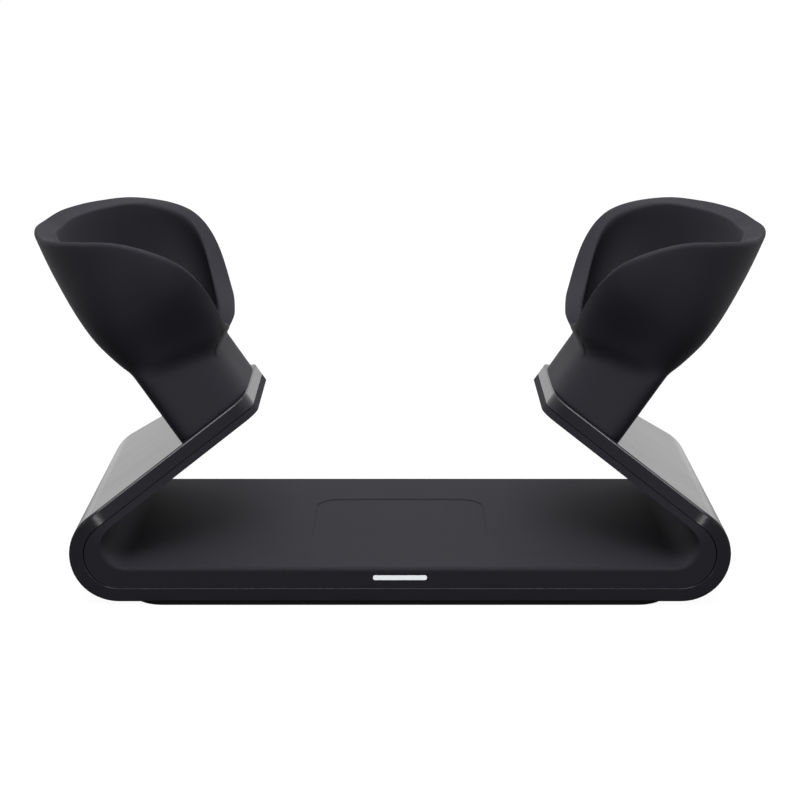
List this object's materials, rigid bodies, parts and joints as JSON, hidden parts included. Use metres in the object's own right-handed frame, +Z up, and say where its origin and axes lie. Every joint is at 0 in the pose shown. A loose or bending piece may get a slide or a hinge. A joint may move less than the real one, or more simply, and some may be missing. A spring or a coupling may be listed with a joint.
{
  "type": "charging stand",
  "caption": "Low charging stand of one bent dark metal band with a black deck and two leaning open cups that hold and charge a pair of hand controllers.",
  "frame": {"origin": "middle of the underside of the foot pad", "axes": "+Z up, front with the light bar towards -Y, +X to the right seen from the front"},
  "size_m": [0.255, 0.116, 0.1245],
  "materials": {
    "dark_metal": "dark satin anodised",
    "black_plastic": "fine matte",
    "pad_rubber": "matte",
    "light_white": "frosted, lit",
    "board_green": "lacquered",
    "chip_pale": "matte",
    "chip_black": "matte",
    "socket_plastic": "matte",
    "inlet_steel": "satin",
    "screw_steel": "plain",
    "spring_steel": "plain",
    "cable_plastic": "flat ribbon",
    "pin_brass": "plated, polished"
  },
  "bodies": {
    "stand": {"frame_band": "dark_metal", "deck_liner": "black_plastic", "left_holder": "black_plastic", "right_holder": "black_plastic", "foot_pad": "pad_rubber", "light_bar": "light_white", "main_board": "board_green", "led_chips": "chip_pale", "control_chips": "chip_black", "cable_sockets": "socket_plastic", "usb_socket": "inlet_steel", "base_screws": "screw_steel", "board_screws": "screw_steel", "left_flat_cable": "cable_plastic", "left_holder_screws": "screw_steel", "left_contact_screws": "screw_steel", "left_contact_board": "board_green", "left_contact_block": "socket_plastic", "left_front_spring": "spring_steel", "left_rear_spring": "spring_steel", "right_flat_cable": "cable_plastic", "right_holder_screws": "screw_steel", "right_contact_screws": "screw_steel", "right_contact_board": "board_green", "right_contact_block": "socket_plastic", "right_front_spring": "spring_steel", "right_rear_spring": "spring_steel"},
    "left_front_pin": {"left_front_pin": "pin_brass"},
    "left_rear_pin": {"left_rear_pin": "pin_brass"},
    "right_front_pin": {"right_front_pin": "pin_brass"},
    "right_rear_pin": {"right_rear_pin": "pin_brass"}
  },
  "joints": [
    {"name": "left_front_pin_press", "type": "slide", "parent": "stand", "child": "left_front_pin", "axis": [0.5664, 0, -0.8241], "range_m": [0, 0.0012], "stiffness_N_per_m": 300, "deforming": ["left_front_spring"]},
    {"name": "left_rear_pin_press", "type": "slide", "parent": "stand", "child": "left_rear_pin", "axis": [0.5664, 0, -0.8241], "range_m": [0, 0.0012], "stiffness_N_per_m": 300, "deforming": ["left_rear_spring"]},
    {"name": "right_front_pin_press", "type": "slide", "parent": "stand", "child": "right_front_pin", "axis": [-0.5664, 0, -0.8241], "range_m": [0, 0.0012], "stiffness_N_per_m": 300, "deforming": ["right_front_spring"]},
    {"name": "right_rear_pin_press", "type": "slide", "parent": "stand", "child": "right_rear_pin", "axis": [-0.5664, 0, -0.8241], "range_m": [0, 0.0012], "stiffness_N_per_m": 300, "deforming": ["right_rear_spring"]}
  ]
}
